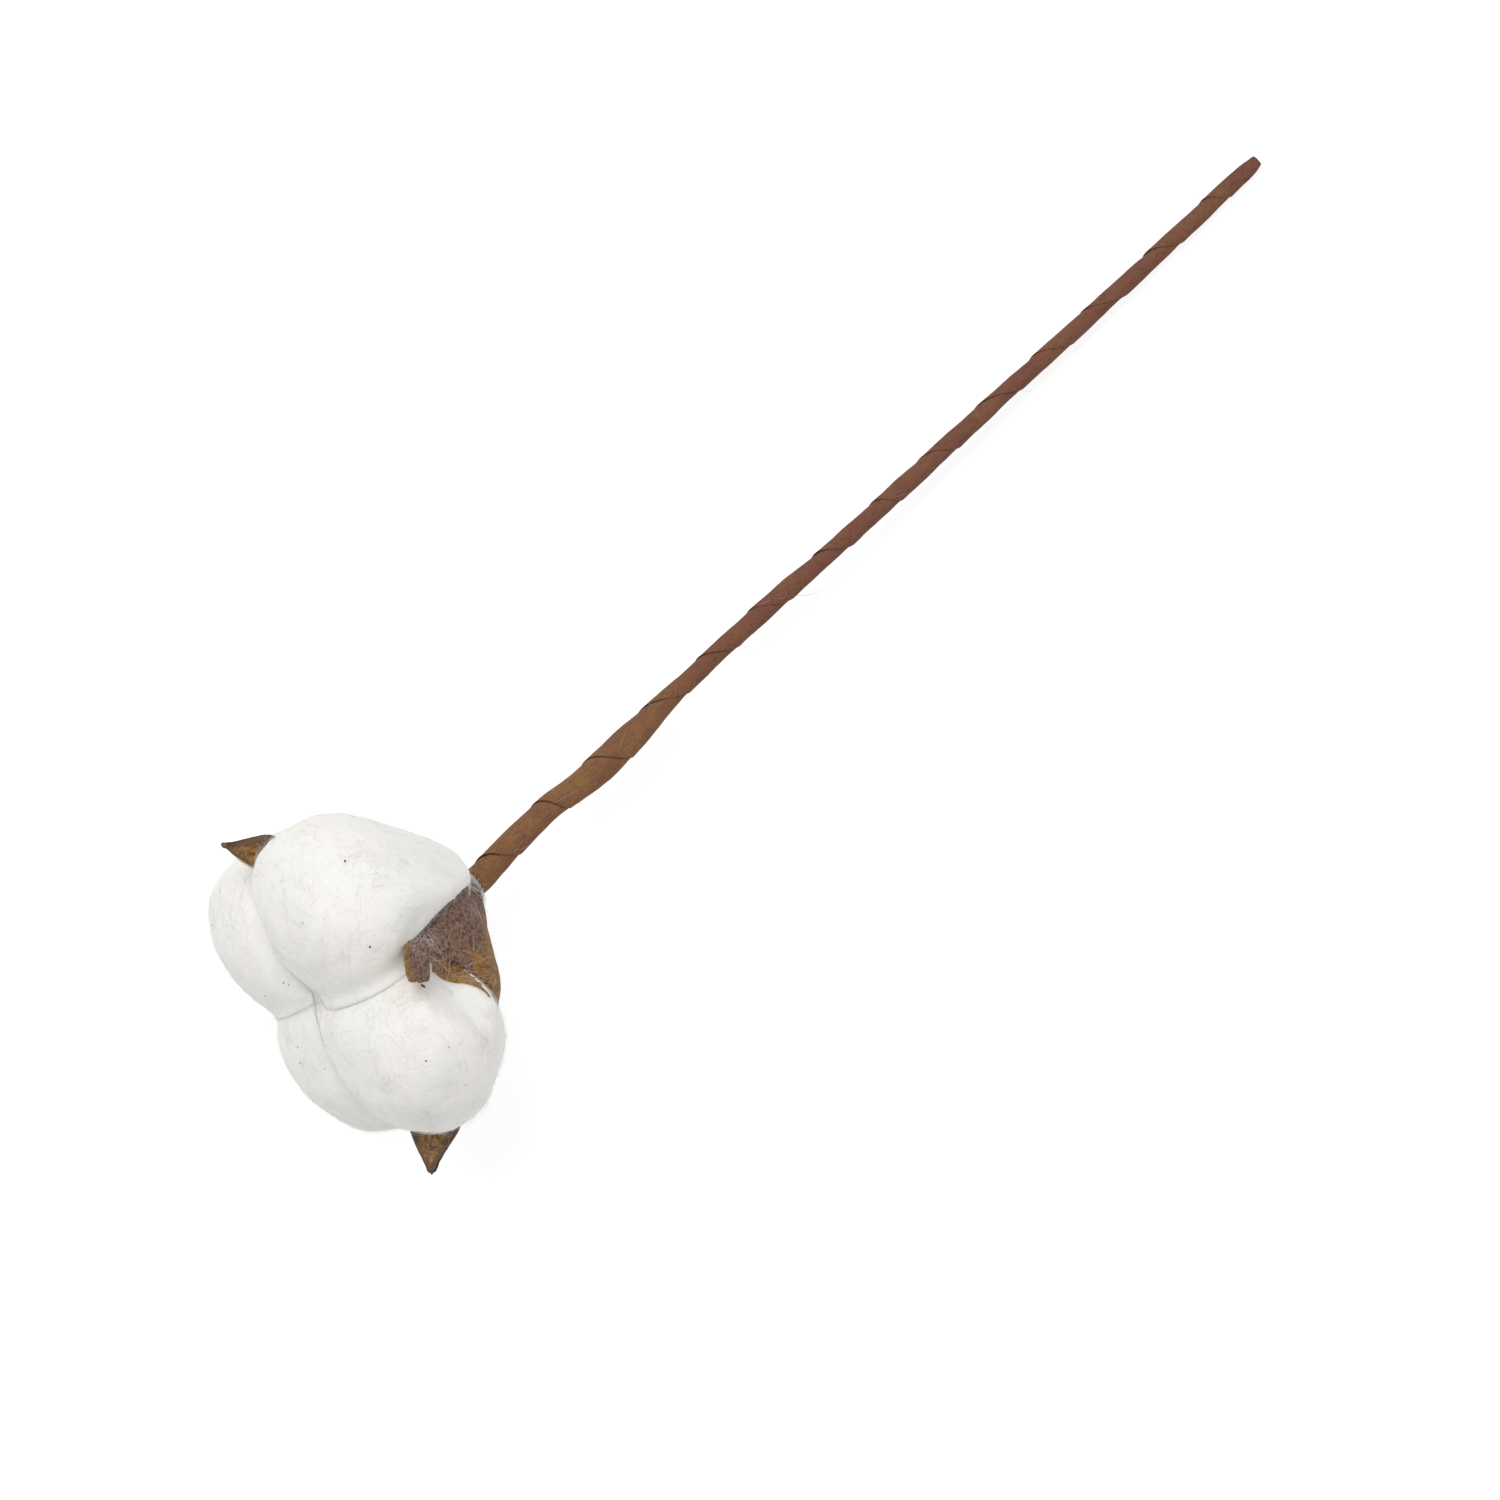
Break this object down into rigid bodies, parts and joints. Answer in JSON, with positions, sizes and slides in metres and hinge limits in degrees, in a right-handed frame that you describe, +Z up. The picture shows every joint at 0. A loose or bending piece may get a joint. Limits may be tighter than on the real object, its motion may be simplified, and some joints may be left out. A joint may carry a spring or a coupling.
{
  "type": "cotton boll",
  "caption": "Preserved cotton boll: an open brown bur filled with locks of white lint, on a stem wrapped in brown paper.",
  "frame": {"origin": "centre of the part's own box on the surface that it lies on", "axes": "+X down the stem away from the boll, +Y to the side, +Z up from the surface"},
  "size_m": [0.202, 0.0574, 0.0502],
  "materials": {
    "lint": "raw cotton fibre, matt, soft and slightly fuzzy",
    "bur": "dried plant husk, purple-brown and fuzzy outside, smooth golden brown inside",
    "paper": "brown crepe paper tape, wound in a spiral, low sheen",
    "wire": "plain drawn wire"
  },
  "bodies": {
    "root": {"bur": "bur", "lock_right": "lint", "lock_upper": "lint", "lock_left": "lint", "lock_lower": "lint", "stem_wire": "wire", "stem_paper": "paper"}
  },
  "joints": []
}
